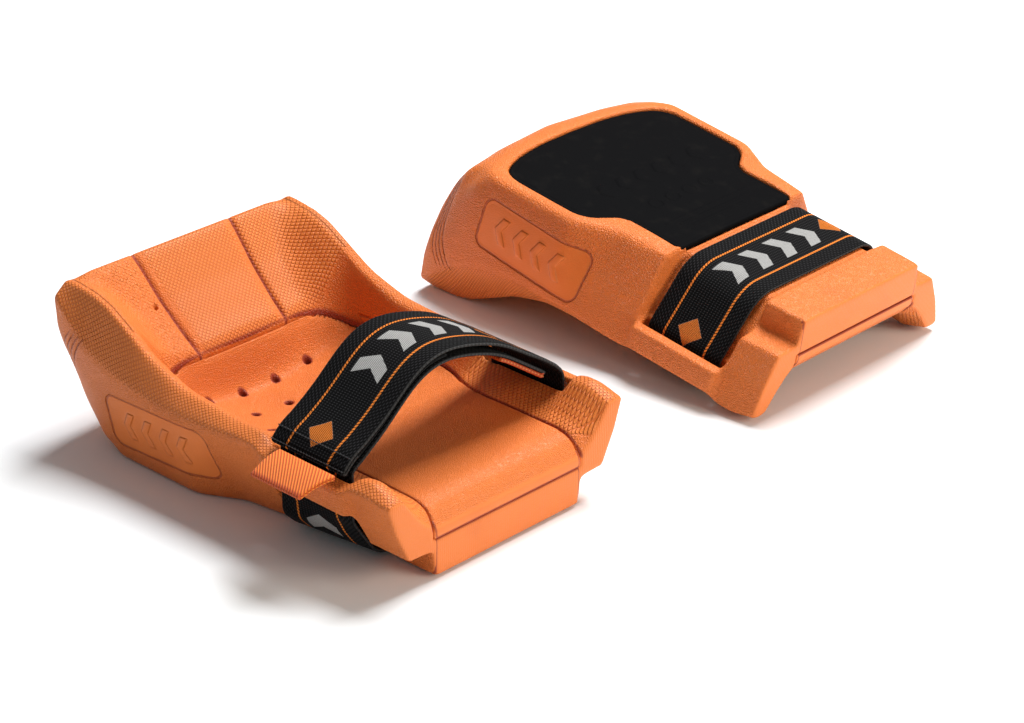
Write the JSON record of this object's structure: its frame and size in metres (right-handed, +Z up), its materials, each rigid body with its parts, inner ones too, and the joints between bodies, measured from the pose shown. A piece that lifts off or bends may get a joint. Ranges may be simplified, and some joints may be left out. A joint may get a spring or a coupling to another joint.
{
  "type": "knee pads",
  "caption": "Pair of moulded foam knee pads with cushion liner, rubber sole and a hook-and-loop calf strap; one pad stands on its sole, the other lies sole up.",
  "frame": {"origin": "middle of the pair's bounding box, on the ground", "axes": "+X across from the upright pad to the pad lying sole up, +Y towards the knee ends, +Z up"},
  "size_m": [0.459, 0.2514, 0.0915],
  "materials": {
    "shell_foam": "moulded pebble grain, satin",
    "liner_foam": "fine leather grain, satin",
    "sole_rubber": "matte",
    "webbing": "woven, ribbed",
    "hook_and_loop": "pile",
    "thread": "twisted thread",
    "tab_webbing": "woven, ribbed"
  },
  "bodies": {
    "upright_pad": {"upright_shell": "shell_foam", "upright_liner": "liner_foam", "upright_sole": "sole_rubber", "upright_strap_lower_run": "webbing"},
    "upright_outer_flap": {"upright_outer_flap_root": "webbing"},
    "upright_outer_flap_end": {"upright_outer_flap_tip": "webbing", "upright_hook_patch": "hook_and_loop", "upright_end_hem": "webbing", "upright_hem_stitching": "thread"},
    "upright_inner_flap": {"upright_inner_flap_root": "webbing", "upright_loop_patch": "hook_and_loop"},
    "upright_inner_flap_end": {"upright_inner_flap_tip": "webbing", "upright_inner_fold": "webbing"},
    "upright_tab": {"upright_pull_tab": "tab_webbing"},
    "inverted_pad": {"inverted_shell": "shell_foam", "inverted_liner": "liner_foam", "inverted_sole": "sole_rubber", "inverted_strap_lower_run": "webbing"},
    "inverted_outer_flap": {"inverted_outer_flap_root": "webbing"},
    "inverted_outer_flap_end": {"inverted_outer_flap_tip": "webbing", "inverted_hook_patch": "hook_and_loop", "inverted_end_hem": "webbing", "inverted_hem_stitching": "thread"},
    "inverted_inner_flap": {"inverted_inner_flap_root": "webbing", "inverted_loop_patch": "hook_and_loop"},
    "inverted_inner_flap_end": {"inverted_inner_flap_tip": "webbing", "inverted_inner_fold": "webbing"},
    "inverted_tab": {"inverted_pull_tab": "tab_webbing"}
  },
  "joints": [
    {"name": "upright_outer_flap_open", "type": "hinge", "parent": "upright_pad", "child": "upright_outer_flap", "pos_m": [-0.05508, -0.05525, 0.054], "axis": [0, 1, 0], "range_deg": [0, 105]},
    {"name": "upright_outer_flap_bend", "type": "hinge", "parent": "upright_outer_flap", "child": "upright_outer_flap_end", "pos_m": [-0.13093, -0.05525, 0.0905], "axis": [0, 1, 0], "range_deg": [0, 42]},
    {"name": "upright_inner_flap_open", "type": "hinge", "parent": "upright_pad", "child": "upright_inner_flap", "pos_m": [-0.19968, -0.05525, 0.05437], "axis": [0, -1, 0], "range_deg": [0, 64]},
    {"name": "upright_inner_flap_bend", "type": "hinge", "parent": "upright_inner_flap", "child": "upright_inner_flap_end", "pos_m": [-0.13093, -0.05525, 0.0853], "axis": [0, 1, 0], "range_deg": [0, 106]},
    {"name": "upright_pull_tab_lift", "type": "hinge", "parent": "upright_outer_flap_end", "child": "upright_tab", "pos_m": [-0.20746, -0.05525, 0.05393], "axis": [0, 1, 0], "range_deg": [0, 60]},
    {"name": "inverted_pad_lift", "type": "slide", "parent": "upright_pad", "child": "inverted_pad", "axis": [0, 0, 1], "range_m": [0, 0.4]},
    {"name": "inverted_outer_flap_open", "type": "hinge", "parent": "inverted_pad", "child": "inverted_outer_flap", "pos_m": [0.05559, -0.06256, 0.01056], "axis": [-0.0121, 0.9899, 0.1409], "range_deg": [0, 105]},
    {"name": "inverted_outer_flap_bend", "type": "hinge", "parent": "inverted_outer_flap", "child": "inverted_outer_flap_end", "pos_m": [0.14574, -0.0608, 0.00599], "axis": [-0.0121, 0.9899, 0.1409], "range_deg": [0, 42]},
    {"name": "inverted_inner_flap_open", "type": "hinge", "parent": "inverted_pad", "child": "inverted_inner_flap", "pos_m": [0.20018, -0.06111, 0.01281], "axis": [0.0121, -0.9899, -0.1409], "range_deg": [0, 64]},
    {"name": "inverted_inner_flap_bend", "type": "hinge", "parent": "inverted_inner_flap", "child": "inverted_inner_flap_end", "pos_m": [0.14575, -0.06154, 0.01114], "axis": [-0.0121, 0.9899, 0.1409], "range_deg": [0, 106]},
    {"name": "inverted_pull_tab_lift", "type": "hinge", "parent": "inverted_outer_flap_end", "child": "inverted_tab", "pos_m": [0.20724, -0.06048, 0.00898], "axis": [-0.0121, 0.9899, 0.1409], "range_deg": [0, 60]}
  ],
  "couplings": [
    {"joint": "upright_outer_flap_bend", "follows": "upright_outer_flap_open", "ratio": 0.38},
    {"joint": "upright_inner_flap_open", "follows": "upright_outer_flap_open", "ratio": 0.6},
    {"joint": "upright_inner_flap_bend", "follows": "upright_outer_flap_open", "ratio": 1},
    {"joint": "inverted_outer_flap_bend", "follows": "inverted_outer_flap_open", "ratio": 0.38},
    {"joint": "inverted_inner_flap_open", "follows": "inverted_outer_flap_open", "ratio": 0.6},
    {"joint": "inverted_inner_flap_bend", "follows": "inverted_outer_flap_open", "ratio": 1}
  ]
}
